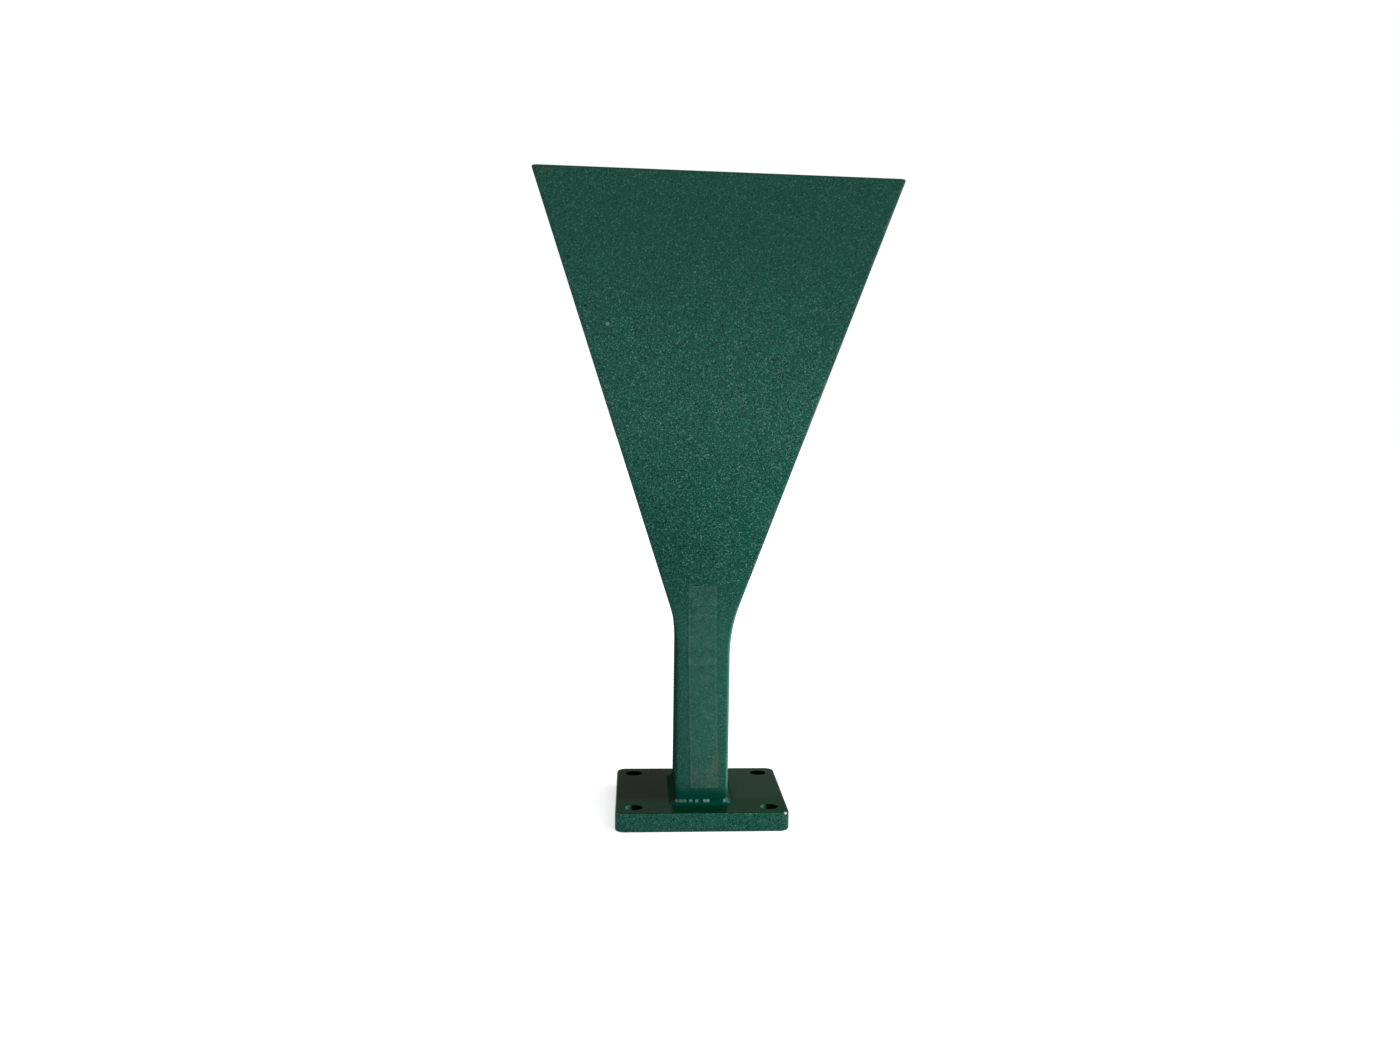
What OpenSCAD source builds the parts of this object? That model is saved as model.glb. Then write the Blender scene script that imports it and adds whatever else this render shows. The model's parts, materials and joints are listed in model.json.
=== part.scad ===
// Pyramidal standard gain horn on a rectangular waveguide, with a square cover flange.
//
// The frame: +Z runs from the flange's mating face up to the mouth, X is across the narrow side
// of the waveguide and Y is across its broad side. The origin is the centre of the mating face.

/* [Waveguide] */
// Inside width across the broad side
guide_broad = 22.86; // [15.8:0.01:28.5]
// Inside width across the narrow side
guide_narrow = 10.16; // [7.9:0.01:12.62]
// Wall of the tube and of the flare
wall = 1.27; // [0.8:0.01:2]
// Inside corner radius of the tube and of the flare
inner_corner = 0.5; // [0.2:0.1:1]
// Outside corner radius of the tube and of the flare
outer_corner = 0.9; // [0.4:0.1:1.5]

/* [Flange] */
// Side of the square flange
flange_side = 41.4; // [38:0.1:50]
// Thickness of the flange
flange_thickness = 4.6; // [3:0.1:8]
// Corner radius of the flange, seen from above
flange_corner = 2.4; // [1:0.1:4]
// Rounding along the flange's edges
flange_edge = 0.5; // [0.2:0.1:1]
// Diameter of the four screw holes
hole_diameter = 4.3; // [3:0.1:5]
// Hole spacing across the narrow side of the waveguide
hole_pitch_x = 32.51; // [30:0.01:36]
// Hole spacing across the broad side of the waveguide
hole_pitch_y = 30.99; // [30:0.01:36]

/* [Horn] */
// Straight tube between the flange and the throat
neck_length = 36.4; // [20:0.1:80]
// Radius on which the outside leaves the tube at the throat
throat_radius = 40; // [15:1:60]
// Height of the flare, from the start of the throat to the rim
flare_length = 105; // [80:1:160]
// Inside width of the mouth across the broad side
mouth_broad = 103.2; // [80:0.1:130]
// Inside width of the mouth across the narrow side
mouth_narrow = 72.4; // [50:0.1:100]
// Rounding of the rim's outer edge
rim_round = 0.5; // [0.2:0.1:0.7]

/* [Solder fillet] */
// Radius of the fillet between the tube and the flange
fillet_radius = 1.5; // [0.6:0.1:3]
// Thickness at which the fillet's edges end
fillet_edge = 0.08; // [0.05:0.01:0.2]

/* [Label tapes] */
// Width of both tapes
tape_width = 6.9; // [4:0.1:9]
// Thickness of a tape
tape_thickness = 0.08; // [0.06:0.01:0.3]
// Thickness of the adhesive that holds a tape off what it is stuck to
adhesive = 0.02; // [0.01:0.01:0.05]
// Bare tube between the flange and the lower tape
tape_start = 4; // [3:0.1:10]
// Length of the lower tape
lower_tape_length = 32.1; // [10:0.1:35]
// Height of the upper tape
upper_tape_length = 19.7; // [10:0.1:40]
// Height over which the upper tape covers the lower one
tape_overlap = 2.2; // [1:0.1:5]
// Middle of the tapes' joint, to the left of the tube's middle
tape_offset = 0.2; // [0:0.1:1]
// Sideways drift of the lower tape, per unit of height
lower_tape_drift = -0.028; // [-0.05:0.001:0.05]
// Sideways drift of the upper tape, per unit of height
upper_tape_drift = -0.022; // [-0.05:0.001:0.05]

/* [Hidden] */

paint_green = [0.13, 0.3, 0.26];
gloss_green = [0.15, 0.2, 0.17];
tape_green = [0.2, 0.32, 0.28];

corner_steps = 6;  // facets round one corner of a ring
edge_steps = 3;    // facets round a small edge
bend_steps = 24;   // facets along the throat
bore_facets = 64;
through = 1;       // how far a cut runs past each face

tube_x = guide_narrow + 2 * wall;
tube_y = guide_broad + 2 * wall;
throat_start = flange_thickness + neck_length;
rim_height = throat_start + flare_length;
inner_radius = throat_radius + wall;

// The walls leave the tube on arcs, whose centres lie outside the horn, and run straight from
// there to the mouth. Inside and outside share those centres, so the wall is even throughout.
narrow_lean = lean(guide_narrow / 2, mouth_narrow / 2);
broad_lean = lean(guide_broad / 2, mouth_broad / 2);
throat_height = inner_radius * sin(max(narrow_lean, broad_lean));
throat_stations = [for (i = [0:bend_steps]) throat_start + i / bend_steps * throat_height];

lower_tape_bottom = flange_thickness + tape_start;
lower_tape_top = lower_tape_bottom + lower_tape_length;
upper_tape_bottom = lower_tape_top - tape_overlap;
upper_tape_top = upper_tape_bottom + upper_tape_length;

// Angle from the axis of the straight wall that is tangent to the throat's arc and ends at the
// mouth. start and end are the wall's distances from the axis in the tube and at the mouth.
function lean(start, end) =
    let (across = end - start - inner_radius)
    atan2(across, flare_length) + asin(inner_radius / norm([across, flare_length]));

// Distance from the axis to a wall at height z, a thickness of skin out from its inside.
function side(z, start, angle, skin) =
    let (h = z - throat_start, radius = inner_radius - skin, arc = radius * sin(angle))
    start + skin + (
        h <= 0 ? 0 :
        h < arc ? radius - sqrt(radius * radius - h * h) :
        radius * (1 - cos(angle)) + (h - arc) * tan(angle)
    );

function side_x(z, skin) = side(z, guide_narrow / 2, narrow_lean, skin);
function side_y(z, skin) = side(z, guide_broad / 2, broad_lean, skin);

// Rectangle with round corners, centred on the axis. x and y are half its sides.
function rounded_rectangle(x, y, corner) = [
    for (quarter = [0:3], step = [0:corner_steps])
        let (
            a = 90 * (quarter + step / corner_steps),
            side_of_x = quarter == 0 || quarter == 3 ? 1 : -1,
            side_of_y = quarter < 2 ? 1 : -1
        )
        [side_of_x * (x - corner) + corner * cos(a), side_of_y * (y - corner) + corner * sin(a)]
];

function ring(x, y, corner, z) = [for (p = rounded_rectangle(x, y, corner)) [p.x, p.y, z]];

function horn_ring(z, skin, corner, inset = 0) =
    ring(side_x(z, skin) - inset, side_y(z, skin) - inset, corner, z);

// Skin through rings that have equal numbers of points. A closed one runs back to its first ring
// and makes a tube with walls; an open one is capped at both ends.
module loft(rings, closed = false) {
    count = len(rings[0]);
    last = len(rings) - 1;
    skin = [
        for (k = [0:closed ? last : last - 1], i = [0:count - 1])
            let (above = (k + 1) % (last + 1), next = (i + 1) % count)
            [k * count + i, above * count + i, above * count + next, k * count + next]
    ];
    caps = closed ? [] : [
        [for (i = [0:count - 1]) i],
        [for (i = [count - 1:-1:0]) last * count + i]
    ];
    polyhedron(points = [for (r = rings) each r], faces = concat(skin, caps));
}

module flange_plate() {
    half = flange_side / 2;
    turns = [for (i = [0:edge_steps]) 90 * i / edge_steps];
    function edge_ring(a, z) =
        let (inset = flange_edge * (1 - cos(a)))
        ring(half - inset, half - inset, flange_corner - inset, z);
    loft(concat(
        [for (i = [edge_steps:-1:0]) edge_ring(turns[i], flange_edge * (1 - sin(turns[i])))],
        [for (a = turns) edge_ring(a, flange_thickness - flange_edge * (1 - sin(a)))]
    ));
}

module screw_holes() {
    for (x = [-1, 1], y = [-1, 1])
        translate([x * hole_pitch_x / 2, y * hole_pitch_y / 2, -through])
            cylinder(d = hole_diameter, h = flange_thickness + 2 * through, $fn = bore_facets);
}

// The tube passes through the window in the flange and ends flush with the mating face.
module waveguide_flange() {
    color(gloss_green)
        difference() {
            flange_plate();
            screw_holes();
            translate([0, 0, -through])
                linear_extrude(flange_thickness + 2 * through)
                    polygon(rounded_rectangle(tube_x / 2, tube_y / 2, outer_corner));
        }
}

// Tube, throat and flare in one piece, open from the mating face to the mouth.
module horn_body() {
    stations = concat([0], throat_stations);
    rim_turns = [for (i = [0:edge_steps]) 90 * i / edge_steps];
    outside = [for (z = stations) horn_ring(z, wall, outer_corner)];
    rim = [
        for (a = rim_turns)
            horn_ring(rim_height - rim_round * (1 - sin(a)), wall, outer_corner, rim_round * (1 - cos(a)))
    ];
    inside = [
        for (i = [len(stations) - 1:-1:0]) horn_ring(stations[i], 0, inner_corner)
    ];
    color(paint_green)
        loft(concat(outside, rim, [horn_ring(rim_height, 0, inner_corner)], inside), closed = true);
}

// Concave bead of solder round the foot of the tube.
module solder_fillet() {
    function bead_ring(out, up) =
        ring(tube_x / 2 + out, tube_y / 2 + out, outer_corner + out, flange_thickness + up);
    turns = [for (i = [0:edge_steps * 2]) 90 * i / (edge_steps * 2)];
    slope = fillet_radius - fillet_edge;
    color(paint_green)
        loft(concat(
            [bead_ring(fillet_radius, 0)],
            [for (a = turns) bead_ring(fillet_radius - slope * sin(a), fillet_radius - slope * cos(a))],
            [bead_ring(fillet_edge, fillet_radius), bead_ring(0, fillet_radius), bead_ring(0, 0)]
        ), closed = true);
}

// Strip of tape on the front wall. It lies on the wall, or over the lower tape up to lap_top.
module tape(bottom, top, drift, lap_top = 0) {
    joint = (lower_tape_top + upper_tape_bottom) / 2;
    layer = adhesive + tape_thickness;
    inner_heights = [for (z = throat_stations) if (z > max(bottom, lap_top + layer) && z < top) z];
    lap_heights = lap_top > bottom ? [lap_top, lap_top + layer] : [];
    heights = concat([bottom], lap_heights, inner_heights, [top]);
    function section(z) =
        let (
            lift = adhesive + (z <= lap_top ? layer : 0),
            middle = drift * (z - joint) - tape_offset,
            under = -side_y(z, wall + lift),
            face = -side_y(z, wall + lift + tape_thickness)
        )
        [
            [middle - tape_width / 2, face, z],
            [middle + tape_width / 2, face, z],
            [middle + tape_width / 2, under, z],
            [middle - tape_width / 2, under, z]
        ];
    color(tape_green)
        loft([for (z = heights) section(z)]);
}

module lower_label_tape() tape(lower_tape_bottom, lower_tape_top, lower_tape_drift);

module upper_label_tape() tape(upper_tape_bottom, upper_tape_top, upper_tape_drift, lower_tape_top);

waveguide_flange();
horn_body();
solder_fillet();
lower_label_tape();
upper_label_tape();
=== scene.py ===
"""A pyramidal waveguide horn antenna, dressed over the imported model."""

import json
from math import cos, radians, sin

import bpy
from mathutils import Matrix, Vector


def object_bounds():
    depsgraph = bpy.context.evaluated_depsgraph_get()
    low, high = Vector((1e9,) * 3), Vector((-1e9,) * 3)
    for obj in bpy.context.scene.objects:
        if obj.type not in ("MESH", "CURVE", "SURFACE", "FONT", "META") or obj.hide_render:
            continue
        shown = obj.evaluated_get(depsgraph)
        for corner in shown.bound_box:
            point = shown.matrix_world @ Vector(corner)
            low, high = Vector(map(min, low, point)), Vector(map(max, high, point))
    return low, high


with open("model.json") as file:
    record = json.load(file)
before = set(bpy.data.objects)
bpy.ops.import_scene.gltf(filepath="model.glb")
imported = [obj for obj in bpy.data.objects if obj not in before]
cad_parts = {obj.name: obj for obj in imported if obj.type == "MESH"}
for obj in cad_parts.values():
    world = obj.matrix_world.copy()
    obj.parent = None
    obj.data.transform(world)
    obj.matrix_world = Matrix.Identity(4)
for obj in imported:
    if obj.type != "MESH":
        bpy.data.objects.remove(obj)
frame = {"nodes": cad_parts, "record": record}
cad_low, cad_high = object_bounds()

MM = 0.001

# Sizes in millimetres that the paint and the marks follow.
HEIGHT = cad_high.z / MM                               # foot to rim
MOUTH_X, MOUTH_Y = cad_high.x / MM, cad_high.y / MM    # half sizes of the mouth
TUBE_X, TUBE_Y = 6.35, 12.7                            # half sizes of the tube
THROAT = (46.0, 64.0)                                  # heights between which the tube opens into the flare
LEAN_X, LEAN_Y = 0.3155, 0.415                         # how far the flare's walls lean out per millimetre up
FLANGE_TOP = 4.6
HOLE_X, HOLE_Y, HOLE_RADIUS = 16.255, 15.495, 2.15


# ---------------------------------------------------------------- node helpers

class Nodes:
    """Short calls for building one material's node tree."""

    def __init__(self, name):
        self.material = bpy.data.materials.new(name)
        self.material.use_nodes = True
        self.tree = self.material.node_tree
        self.tree.nodes.clear()
        self.output = self.tree.nodes.new("ShaderNodeOutputMaterial")

    def add(self, kind, settings=None, **sockets):
        node = self.tree.nodes.new("ShaderNode" + kind)
        for key, value in (settings or {}).items():
            setattr(node, key, value)
        for key, value in sockets.items():
            self.feed(node.inputs[key.replace("_", " ")], value)
        return node

    def feed(self, socket, value):
        if isinstance(value, bpy.types.NodeSocket):
            self.tree.links.new(value, socket)
        else:
            socket.default_value = value

    def math(self, operation, a, b=0.0, c=0.0):
        node = self.add("Math", {"operation": operation})
        for socket, value in zip(node.inputs, (a, b, c)):
            self.feed(socket, value)
        return node.outputs[0]

    def both(self, *masks):
        """1 where every mask is 1."""
        result = masks[0]
        for mask in masks[1:]:
            result = self.math("MULTIPLY", result, mask)
        return result

    def rise(self, value, low, high):
        """0 below low, 1 above high, and smooth between them. low may be the larger one."""
        node = self.add("MapRange", {"interpolation_type": "SMOOTHSTEP"}, Value=value)
        flip = low > high
        node.inputs["From Min"].default_value = min(low, high)
        node.inputs["From Max"].default_value = max(low, high)
        node.inputs["To Min"].default_value = 1.0 if flip else 0.0
        node.inputs["To Max"].default_value = 0.0 if flip else 1.0
        return node.outputs[0]

    def band(self, value, start, full, fade, end):
        """1 from full to fade, 0 below start and above end, and smooth between them."""
        return self.both(self.rise(value, start, full), self.rise(value, end, fade))

    def scale(self, value, low, high):
        """A value from 0 to 1, stretched to run from low to high."""
        return self.math("MULTIPLY_ADD", value, high - low, low)

    def mix(self, share, a, b):
        """Colour a where share is 0, and b where it is 1."""
        node = self.add("Mix", {"data_type": "RGBA"})
        self.feed(node.inputs["Factor"], share)
        self.feed(node.inputs[6], a)
        self.feed(node.inputs[7], b)
        return node.outputs[2]

    def lay(self, colour, mask, share, over):
        """The colour, with a share of another one laid over it where the mask is 1."""
        return self.mix(self.math("MULTIPLY", mask, share), colour, over)

    def tint(self, colour, factor):
        """The colour, made darker or lighter by a factor."""
        node = self.add("VectorMath", {"operation": "SCALE"})
        self.feed(node.inputs[0], colour[:3] if isinstance(colour, tuple) else colour)
        self.feed(node.inputs["Scale"], factor)
        return node.outputs[0]

    def place(self):
        """The point on the object, in millimetres."""
        return self.tint(self.add("TexCoord").outputs["Object"], 1 / MM)

    def split(self, vector):
        return self.add("SeparateXYZ", Vector=vector).outputs

    def noise(self, at, size, detail=2.0, rough=0.5, seed=0.0):
        """Soft grain, size millimetres across."""
        node = self.add(
            "TexNoise", {"noise_dimensions": "4D"},
            Vector=at, Scale=1 / size, Detail=detail, Roughness=rough, W=seed,
        )
        return node.outputs["Fac"]

    def dots(self, cells, size, share, radius):
        """A round dot in a share of a Voronoi texture's cells, which are size millimetres across."""
        draw = self.add("SeparateColor", Color=cells.outputs["Color"]).outputs[0]
        dot = self.rise(cells.outputs["Distance"], radius / size, 0.5 * radius / size)
        return self.both(self.math("LESS_THAN", draw, share), dot)

    def specks(self, at, size, share, radius, seed=0.0):
        """Dots strewn over the surface."""
        cells = self.add("TexVoronoi", {"voronoi_dimensions": "4D"}, Vector=at, Scale=1 / size, W=seed)
        return self.dots(cells, size, share, radius)

    def beads(self, along, size, share, radius):
        """Dots in a row."""
        cells = self.add("TexVoronoi", {"voronoi_dimensions": "1D"}, W=along, Scale=1 / size)
        return self.dots(cells, size, share, radius)

    def near(self, at, point, radius):
        """1 close to a point, and 0 more than radius millimetres away from it."""
        node = self.add("VectorMath", {"operation": "DISTANCE"})
        self.feed(node.inputs[0], at)
        self.feed(node.inputs[1], point)
        return self.rise(node.outputs["Value"], radius, 0.5 * radius)

    def bump(self, height, depth, strength):
        """A bump, depth millimetres high."""
        return self.add("Bump", Height=height, Strength=strength, Distance=depth * MM).outputs[0]

    def surface(self, **sockets):
        shader = self.add("BsdfPrincipled", **sockets)
        self.tree.links.new(shader.outputs[0], self.output.inputs["Surface"])
        return self.material


def rgb(red, green, blue):
    """A colour written as it shows on a screen, from 0 to 255, as the linear one that shaders take."""
    def linear(c):
        c /= 255
        return c / 12.92 if c <= 0.04045 else ((c + 0.055) / 1.055) ** 2.4
    return (linear(red), linear(green), linear(blue), 1.0)


def facing(n):
    """Which way the surface faces, as x, y and z."""
    return n.split(n.add("NewGeometry").outputs["Normal"])


def outward(n, at, normal):
    """1 on a surface that faces away from the horn's axis, and 0 inside it."""
    x, y, _ = n.split(at)
    away = n.math("MULTIPLY_ADD", x, normal[0], n.math("MULTIPLY", y, normal[1]))
    return n.math("GREATER_THAN", away, 0.0)


def on_front(x, z):
    """A point on the horn's front wall, x to the side and z up."""
    return (x, -max(TUBE_Y, MOUTH_Y - (HEIGHT - z) * LEAN_Y), z)


# ------------------------------------------------------------------------ walls

GREEN = rgb(25, 81, 68)
# Pale flakes: partly the paint's own, partly painted sparkle highlights.
FLAKE_AND_SPARKLE = rgb(82, 128, 112)
GRAIN = 0.36                              # size of the hammered enamel's grain, in millimetres
PAINTED_LIGHT_LOW, PAINTED_LIGHT_HIGH = 0.17, -0.01         # how much painted light lightens the paint to the right, low on the horn and high
PAINTED_LIGHT_WAIST = 0.08                         # how much painted light lightens it over the lower half of the flare
WAIST = (60.0, 80.0, 95.0, 118.0)         # where it does so: a band of heights
PAINTED_SHADE_TOP = 0.27                           # how much painted shade darkens it towards the rim


def enamel(n, at, contrast):
    """Hammered green enamel: its colour and its relief. contrast is how much the grain shows. Its pale flakes
    are partly the paint's own and partly painted sparkle highlights.
    """
    grain = n.noise(at, GRAIN, detail=2.0, rough=0.6)
    sparkle = n.noise(at, 0.8 * GRAIN, detail=1.0, seed=12.0)
    pits = n.math("MULTIPLY", n.rise(grain, 0.53, 0.40), contrast)
    flakes_and_sparkle = n.math("MULTIPLY", n.rise(sparkle, 0.55, 0.70), contrast)
    mottle = n.scale(n.noise(at, 4.0, seed=3.0), 0.85, 1.15)
    colour = n.tint(GREEN, n.math("MULTIPLY", mottle, n.scale(pits, 1.0, 0.35)))
    return n.lay(colour, flakes_and_sparkle, 0.9, FLAKE_AND_SPARKLE), grain


def bare_brass(n, at):
    tarnish = n.noise(at, 14.0, detail=4.0, rough=0.6, seed=8.0)
    return n.mix(n.rise(tarnish, 0.35, 0.7), rgb(196, 164, 98), rgb(140, 108, 62))


def painted_wall_light(n, x, z):
    """Painted light and shade: the paint's slow change of brightness over the horn's walls, lighter to the
    right low down and over the lower flare, darker towards the rim.
    """
    half = n.math("MULTIPLY_ADD", z, LEAN_X, MOUTH_X - HEIGHT * LEAN_X)
    half = n.math("MAXIMUM", half, TUBE_X)
    lean = n.scale(n.rise(z, 60.0, 135.0), PAINTED_LIGHT_LOW, PAINTED_LIGHT_HIGH)
    light_and_shade = n.math("MULTIPLY_ADD", n.math("DIVIDE", x, half), lean, 1.0)
    light_and_shade = n.math("MULTIPLY_ADD", n.band(z, *WAIST), PAINTED_LIGHT_WAIST, light_and_shade)
    return n.math("MULTIPLY_ADD", n.rise(z, 95.0, HEIGHT), -PAINTED_SHADE_TOP, light_and_shade)


def wall_paint(n, at):
    """The enamel as it lies on the horn's walls, under the tapes too, with painted light and shade in it: its
    colour and its relief.
    """
    x, _, z = n.split(at)
    contrast = n.scale(n.rise(z, *THROAT), 0.45, 1.0)
    contrast = n.math("MULTIPLY_ADD", n.rise(z, 100.0, 140.0), -0.4, contrast)
    colour, grain = enamel(n, at, contrast)
    return n.tint(colour, painted_wall_light(n, x, z)), grain


# ------------------------------------------------------------------- horn body

SHADOWED = rgb(0, 60, 49)                 # the paint low on the tube and on the bead
# A painted highlight on the tube's rounded right edge.
PAINTED_GLINT = rgb(88, 132, 118)
WORN = rgb(112, 108, 86)
# Painted shade along the rim's rounded outer edge.
RIM_SHADE = rgb(12, 42, 33)
DUST = rgb(150, 178, 168)
DEEP_PIT = rgb(4, 26, 20)
SCUFF = rgb(120, 150, 138)
KNOCK = rgb(70, 58, 40)

# Marks on the front wall: x, height and radius.
PIT_MARKS = ((-30.5, 129.3, 0.5), (-27.25, 119.9, 0.45))
SCUFF_MARK = (-22.6, 116.4, 0.6)
KNOCK_MARK = (-34.9, 145.1, 0.7)


def front_mark(n, at, mark):
    x, z, radius = mark
    return n.near(at, on_front(x, z), radius)


def horn_paint():
    n = Nodes("horn_paint")
    at = n.place()
    z = n.split(at)[2]
    normal = facing(n)
    painted = outward(n, at, normal)

    colour, grain = wall_paint(n, at)
    on_flare = n.rise(z, *THROAT)
    # Painted shade: surfaces that face to the left are drawn darker.
    shaded_left = n.rise(normal[0], -0.4, -0.9)
    colour = n.tint(colour, n.scale(shaded_left, 1.0, 0.9))

    right_edge = n.both(n.rise(normal[0], 0.3, 0.6), n.rise(normal[1], -0.1, -0.3))
    # Painted highlight along the tube's rounded right edge; on the flare the same edge gets worn paint.
    painted_glint = n.both(right_edge, n.rise(z, 62.0, 50.0))
    worn = n.both(right_edge, on_flare, n.rise(n.noise(at, 5.0, detail=3.0, seed=11.0), 0.45, 0.6))
    foot = n.rise(z, 10.0, 6.5)
    # Painted shade: a dark line along the rim's rounded outer edge.
    rim_shade = n.rise(z, HEIGHT - 0.45, HEIGHT - 0.2)
    dust = n.specks(at, 2.4, 0.05, 0.28, seed=5.0)
    pits = n.specks(at, 7.0, 0.10, 0.4, seed=7.0)
    for mark in PIT_MARKS:
        pits = n.math("MAXIMUM", pits, front_mark(n, at, mark))
    for mask, share, over in (
        (painted_glint, 0.7, PAINTED_GLINT),
        (worn, 0.35, WORN),
        (foot, 0.85, SHADOWED),
        (rim_shade, 0.8, RIM_SHADE),
        (dust, 0.35, DUST),
        (pits, 0.8, DEEP_PIT),
        (front_mark(n, at, SCUFF_MARK), 0.5, SCUFF),
        (front_mark(n, at, KNOCK_MARK), 0.6, KNOCK),
    ):
        colour = n.lay(colour, mask, share, over)

    low_flare = n.both(on_flare, n.rise(z, 100.0, 75.0), 0.7)
    matt = n.math("MAXIMUM", low_flare, n.math("MAXIMUM", shaded_left, foot))
    return n.surface(
        Base_Color=n.mix(painted, bare_brass(n, at), colour),
        Metallic=n.math("SUBTRACT", 1.0, painted),
        Roughness=n.scale(n.noise(at, 5.0, seed=2.0), 0.36, 0.5),
        Specular_IOR_Level=n.scale(matt, 0.08, 0.0),
        Normal=n.bump(grain, 0.06, 0.35),
    )


# ---------------------------------------------------------------------- flange

# The glossy top, left and right, as linear colours with painted reflection and light in them: dark at the
# back, greener at the front where the tube is mirrored, and lighter to the right; the pale room mirrored in
# it adds the rest.
TOP_BACK_REFLECTION = ((0.0005, 0.0095, 0.0, 1), (0.0056, 0.0275, 0.0126, 1))
TOP_FRONT_REFLECTION = ((0.0008, 0.0234, 0.0085, 1), (0.0013, 0.0247, 0.0095, 1))
# Inside the holes: painted shade, and a painted lit strip.
BORE_SHADE, LIT_BORE = rgb(2, 8, 6), rgb(70, 128, 116)
# A small white spot on the top's front right corner.
WHITE_SPOT, WHITE_SPOT_MARK = rgb(205, 215, 208), (20.0, -20.4, FLANGE_TOP - 0.1)


def flange_paint():
    n = Nodes("flange_paint")
    at = n.place()
    x, y, z = n.split(at)
    normal = facing(n)
    side, grain = enamel(n, at, 0.75)
    # Painted light: the sides are drawn lighter towards the right.
    side = n.tint(side, n.math("MULTIPLY_ADD", x, 0.001, 0.92))

    top = n.rise(normal[2], 0.75, 0.97)
    under = n.rise(normal[2], -0.96, -0.99)
    # The top's colour is painted reflection and light: dark at the back, greener at the front where the tube
    # is mirrored, lighter to the right.
    rightward = n.rise(x, -12.0, 9.0)
    smooth = n.mix(n.rise(y, -6.0, -10.0), n.mix(rightward, *TOP_BACK_REFLECTION), n.mix(rightward, *TOP_FRONT_REFLECTION))
    colour = n.mix(top, side, smooth)

    across, along = (
        n.math("POWER", n.math("SUBTRACT", n.math("ABSOLUTE", place), centre), 2.0)
        for place, centre in ((x, HOLE_X), (y, HOLE_Y))
    )
    from_hole = n.math("SQRT", n.math("ADD", across, along))
    # Inside the holes, painted shade: near black, with a painted lit strip on each front hole's wall that
    # faces right.
    bore = n.both(n.rise(from_hole, HOLE_RADIUS + 0.2, HOLE_RADIUS + 0.1),
                  n.rise(n.math("ABSOLUTE", normal[2]), 0.6, 0.4))
    lit = n.both(n.rise(normal[0], 0.1, 0.9), n.rise(z, 1.0, FLANGE_TOP), n.rise(y, 0.0, -5.0))
    colour = n.mix(bore, colour, n.mix(lit, BORE_SHADE, LIT_BORE))
    colour = n.mix(n.near(at, WHITE_SPOT_MARK, 0.75), colour, WHITE_SPOT)
    return n.surface(
        Base_Color=n.mix(under, colour, bare_brass(n, at)),
        Metallic=under,
        Roughness=n.scale(top, 0.45, 0.13),
        Specular_IOR_Level=n.scale(top, 0.05, 0.003),
        Normal=n.bump(grain, 0.06, n.scale(top, 0.3, 0.0)),
    )


# ---------------------------------------------------------------- solder fillet

HIGHLIGHT_ROW = (4.95, 5.4, 5.5, 5.95)          # the band of heights that holds the row of pale dots, which are painted highlights


def fillet_paint():
    n = Nodes("fillet_paint")
    at = n.place()
    x, y, z = n.split(at)
    normal = facing(n)
    lumps = n.noise(at, 1.1, seed=4.0)
    colour = n.tint(SHADOWED, n.scale(lumps, 0.5, 1.4))
    # Painted reflection and shade: the bead's sides are drawn dark like the flange's top, darker on the left
    # than on the right.
    sides = n.rise(n.math("ABSOLUTE", normal[0]), 0.25, 0.5)
    colour = n.mix(sides, colour, n.mix(n.rise(x, -5.0, 5.0), rgb(35, 46, 37), rgb(42, 62, 50)))
    # Painted highlight on the bead's right front corner.
    corner = n.both(n.rise(normal[0], 0.2, 0.4), n.rise(normal[1], -0.2, -0.4))
    colour = n.lay(colour, corner, 0.6, rgb(70, 112, 100))
    # Painted highlights: a row of pale dots along the bead's front.
    row = n.both(n.band(z, *HIGHLIGHT_ROW), n.rise(y, -12.0, -12.6))
    dots = n.both(row, n.beads(x, 1.35, 0.75, 0.5), n.scale(n.rise(x, -6.0, 6.0), 0.3, 0.75))
    return n.surface(
        Base_Color=n.mix(dots, colour, rgb(130, 168, 158)),
        Roughness=0.35,
        Specular_IOR_Level=0.0,
        Normal=n.bump(lumps, 0.2, 0.6),
    )


# ----------------------------------------------------------------------- tapes

# Each tape's centre line: the height it starts at, its x there, and its drift for each millimetre up.
LOWER_TAPE, UPPER_TAPE = (8.6, 0.668, -0.028), (38.5, -0.176, -0.022)
TAPE_TOP, TAPE_HALF = 58.2, 3.45          # where the upper one ends, and half their width
SMUDGE_X, SMUDGE_HEIGHTS = 3.3, (12.9, 14.0, 15.1, 16.2)


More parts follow.
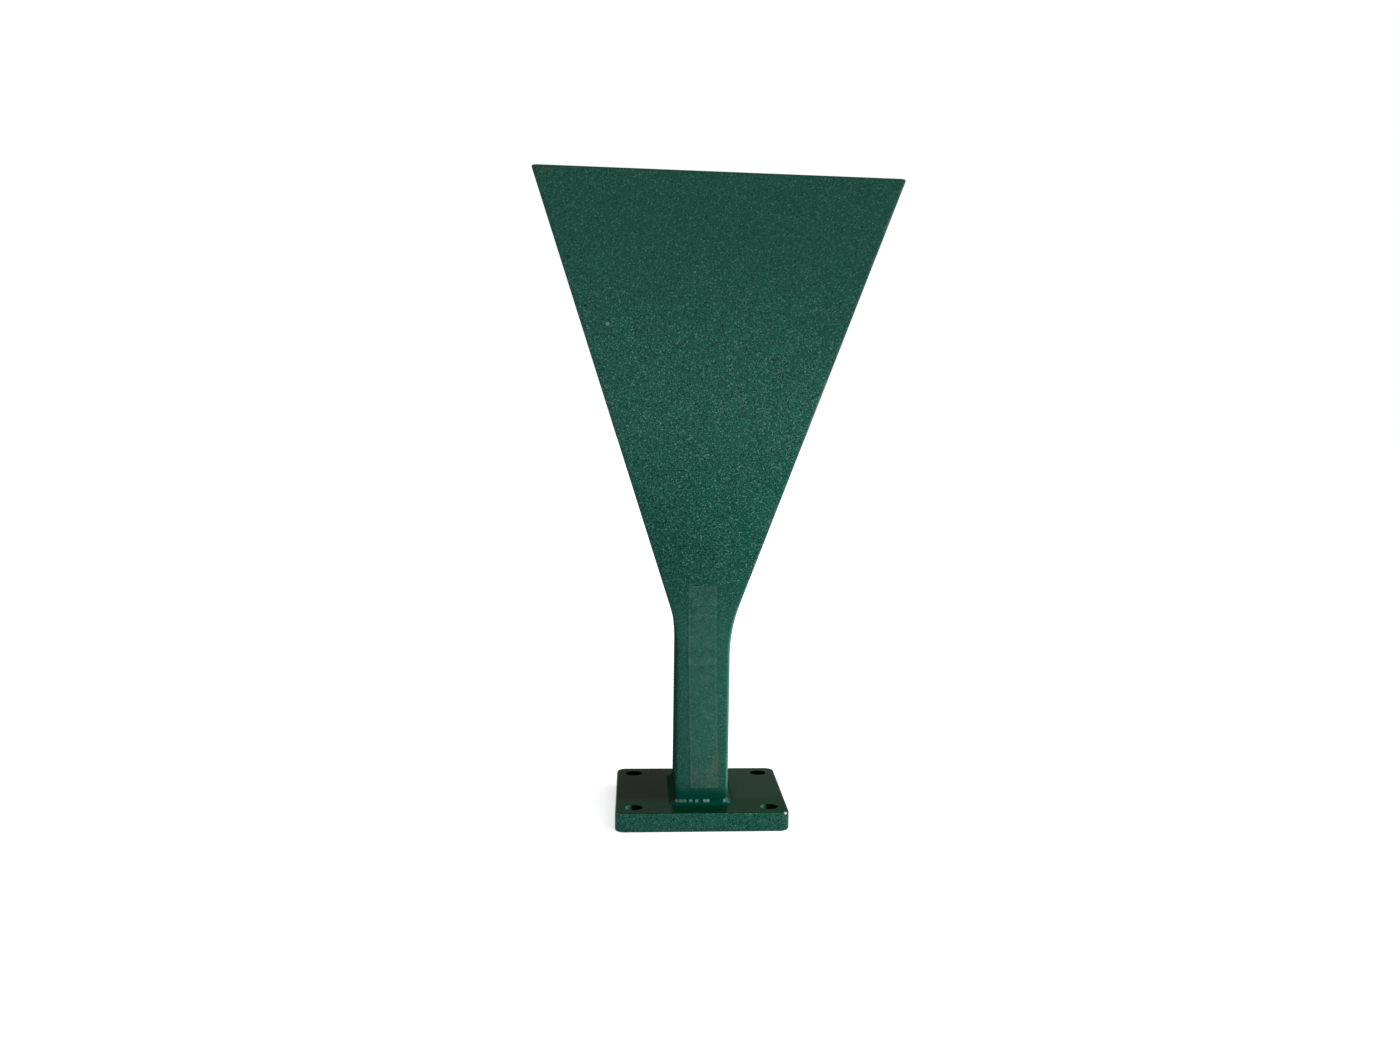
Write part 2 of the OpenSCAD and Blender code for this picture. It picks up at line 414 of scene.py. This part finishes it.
def clear_tape():
    """The tape is so thin and clear that it is drawn as the paint under it, with haze over it."""
    n = Nodes("clear_tape")
    at = n.place()
    x, _, z = n.split(at)
    under, grain = wall_paint(n, at)
    bottom, join = LOWER_TAPE[0], UPPER_TAPE[0]

    lower, upper = (n.math("MULTIPLY_ADD", z, drift, x_start - drift * start)
                    for start, x_start, drift in (LOWER_TAPE, UPPER_TAPE))
    on_upper = n.math("GREATER_THAN", z, join + 1.1)
    centre = n.math("ADD", n.math("MULTIPLY", on_upper, upper),
                    n.math("MULTIPLY", n.math("SUBTRACT", 1.0, on_upper), lower))
    off = n.math("ABSOLUTE", n.math("SUBTRACT", x, centre))
    edge = n.band(off, TAPE_HALF - 0.6, TAPE_HALF - 0.45, TAPE_HALF - 0.3, TAPE_HALF - 0.15)
    edge = n.math("MAXIMUM", edge, n.rise(z, TAPE_TOP - 0.4, TAPE_TOP - 0.15))
    edge = n.math("MAXIMUM", edge, n.rise(z, bottom + 0.4, bottom + 0.15))
    edge = n.both(edge, n.scale(n.rise(n.noise(at, 3.0, seed=13.0), 0.35, 0.65), 0.3, 1.0))
    lap = n.band(z, join, join + 0.3, join + 1.9, join + 2.4)
    foot = n.rise(z, 15.0, 9.5)
    smudge = 0.0
    for height in SMUDGE_HEIGHTS:
        smudge = n.math("MAXIMUM", smudge, n.near(at, (SMUDGE_X, -TUBE_Y - 0.1, height), 0.9))
    haze = n.rise(n.noise(at, 2.0, detail=3.0, seed=6.0), 0.35, 0.75)

    colour = n.mix(foot, rgb(120, 146, 132), rgb(120, 108, 98))
    colour = n.mix(edge, colour, rgb(118, 116, 100))
    colour = n.mix(smudge, colour, rgb(100, 82, 64))
    cover = n.scale(haze, 0.02, 0.09)
    for mark, share in ((edge, 0.14), (lap, 0.05), (foot, 0.07), (smudge, 0.3)):
        cover = n.math("MULTIPLY_ADD", mark, share, cover)
    return n.surface(
        Base_Color=n.mix(cover, under, colour),
        Roughness=0.35,
        Specular_IOR_Level=0.08,
        Normal=n.bump(grain, 0.03, 0.3),
    )


FINISHES = {
    "horn_paint": horn_paint,
    "flange_paint": flange_paint,
    "fillet_paint": fillet_paint,
    "tape": clear_tape,
}


def dress_nodes():
    slots = {part["node"]: part["material_slot"] for part in frame["record"]["subparts"]}
    made = {slot: finish() for slot, finish in FINISHES.items()}
    for name, node in frame["nodes"].items():
        node.material_slots[0].material = made[slots[name]]


# ----------------------------------------------------------------------- stage

WHITE = (1.0, 1.0, 1.0, 1.0)
WORLD_LIGHT = 0.5                         # the world's strength as light; it shows white
FLOOR_COLOUR = (0.8, 0.8, 0.8, 1.0)
FLOOR_LIFT = 0.5                          # what the floor adds where it is seen, so it shows white
FLOOR_HALF = 6.0                          # half the floor's width, in metres
SUN, SUN_ANGLE, SUN_PLACE = 2.3, radians(80), (0.45, -0.35, 0.82)
LAMP, LAMP_WIDTH, LAMP_PLACE = 0.7, 0.3, (0.45, -0.35, 0.2)


def seen_rays(tree):
    """1 for what the camera sees directly, in a reflection or through something clear."""
    path = tree.nodes.new("ShaderNodeLightPath").outputs
    seen = path["Is Camera Ray"]
    for ray in ("Is Glossy Ray", "Is Transmission Ray"):
        either = tree.nodes.new("ShaderNodeMath")
        either.operation = "MAXIMUM"
        tree.links.new(seen, either.inputs[0])
        tree.links.new(path[ray], either.inputs[1])
        seen = either.outputs[0]
    return seen


def lay_floor():
    n = Nodes("floor")
    n.surface(
        Base_Color=FLOOR_COLOUR,
        Roughness=0.9,
        Specular_IOR_Level=0.0,
        Emission_Color=WHITE,
        Emission_Strength=n.math("MULTIPLY", seen_rays(n.tree), FLOOR_LIFT),
    )
    corners = [(FLOOR_HALF * x, FLOOR_HALF * y, 0) for x, y in ((-1, -1), (1, -1), (1, 1), (-1, 1))]
    mesh = bpy.data.meshes.new("floor")
    mesh.from_pydata(corners, [], [(0, 1, 2, 3)])
    mesh.materials.append(n.material)
    floor = bpy.data.objects.new("floor", mesh)
    bpy.context.scene.collection.objects.link(floor)


def light_world():
    world = bpy.data.worlds.new("studio")
    world.use_nodes = True
    tree = world.node_tree
    tree.nodes.clear()
    strength = tree.nodes.new("ShaderNodeMath")
    strength.operation = "MULTIPLY_ADD"
    tree.links.new(seen_rays(tree), strength.inputs[0])
    strength.inputs[1].default_value = 1.0 - WORLD_LIGHT
    strength.inputs[2].default_value = WORLD_LIGHT
    background = tree.nodes.new("ShaderNodeBackground")
    background.inputs["Color"].default_value = WHITE
    tree.links.new(strength.outputs[0], background.inputs["Strength"])
    output = tree.nodes.new("ShaderNodeOutputWorld")
    tree.links.new(background.outputs[0], output.inputs["Surface"])
    bpy.context.scene.world = world


def hang_lamp(lamp, energy, place, aim):
    lamp.energy = energy
    holder = bpy.data.objects.new(lamp.name, lamp)
    holder.location = place
    holder.rotation_euler = (Vector(aim) - Vector(place)).to_track_quat("-Z", "Y").to_euler()
    bpy.context.scene.collection.objects.link(holder)


def light_stage():
    sun = bpy.data.lights.new("ceiling", "SUN")
    sun.angle = SUN_ANGLE
    hang_lamp(sun, SUN, SUN_PLACE, (0, 0, 0))
    right = bpy.data.lights.new("right", "AREA")
    right.shape = "SQUARE"
    right.size = LAMP_WIDTH
    hang_lamp(right, LAMP, LAMP_PLACE, (0, 0, cad_high.z / 2))


# ---------------------------------------------------------------------- camera

PICTURE_WIDTH = 36.0                      # millimetres, on the sensor
LENS = 34.14                              # focal length in millimetres
SHIFT = (-0.0494, 0.0472)                 # how far the picture is off the lens axis, in picture widths
YAW, PITCH, ROLL = radians(5.83), radians(7.34), radians(-1.23)
CAMERA = Vector((-16.49, -325.1, 97.14)) * MM


def set_camera():
    data = bpy.data.cameras.new("camera")
    data.sensor_width = PICTURE_WIDTH
    data.lens = LENS
    data.shift_x, data.shift_y = SHIFT
    data.clip_start = 0.01
    forward = Vector((sin(YAW) * cos(PITCH), cos(YAW) * cos(PITCH), -sin(PITCH)))
    level = Vector((cos(YAW), -sin(YAW), 0))
    plumb = forward.cross(level)
    right = cos(ROLL) * level + sin(ROLL) * plumb
    down = cos(ROLL) * plumb - sin(ROLL) * level
    turn = Matrix((right, -down, -forward)).transposed()
    camera = bpy.data.objects.new("camera", data)
    camera.matrix_world = Matrix.Translation(CAMERA) @ turn.to_4x4()
    bpy.context.scene.collection.objects.link(camera)
    bpy.context.scene.camera = camera


dress_nodes()
lay_floor()
light_world()
light_stage()
set_camera()

view = bpy.context.scene.view_settings
view.view_transform = "Standard"
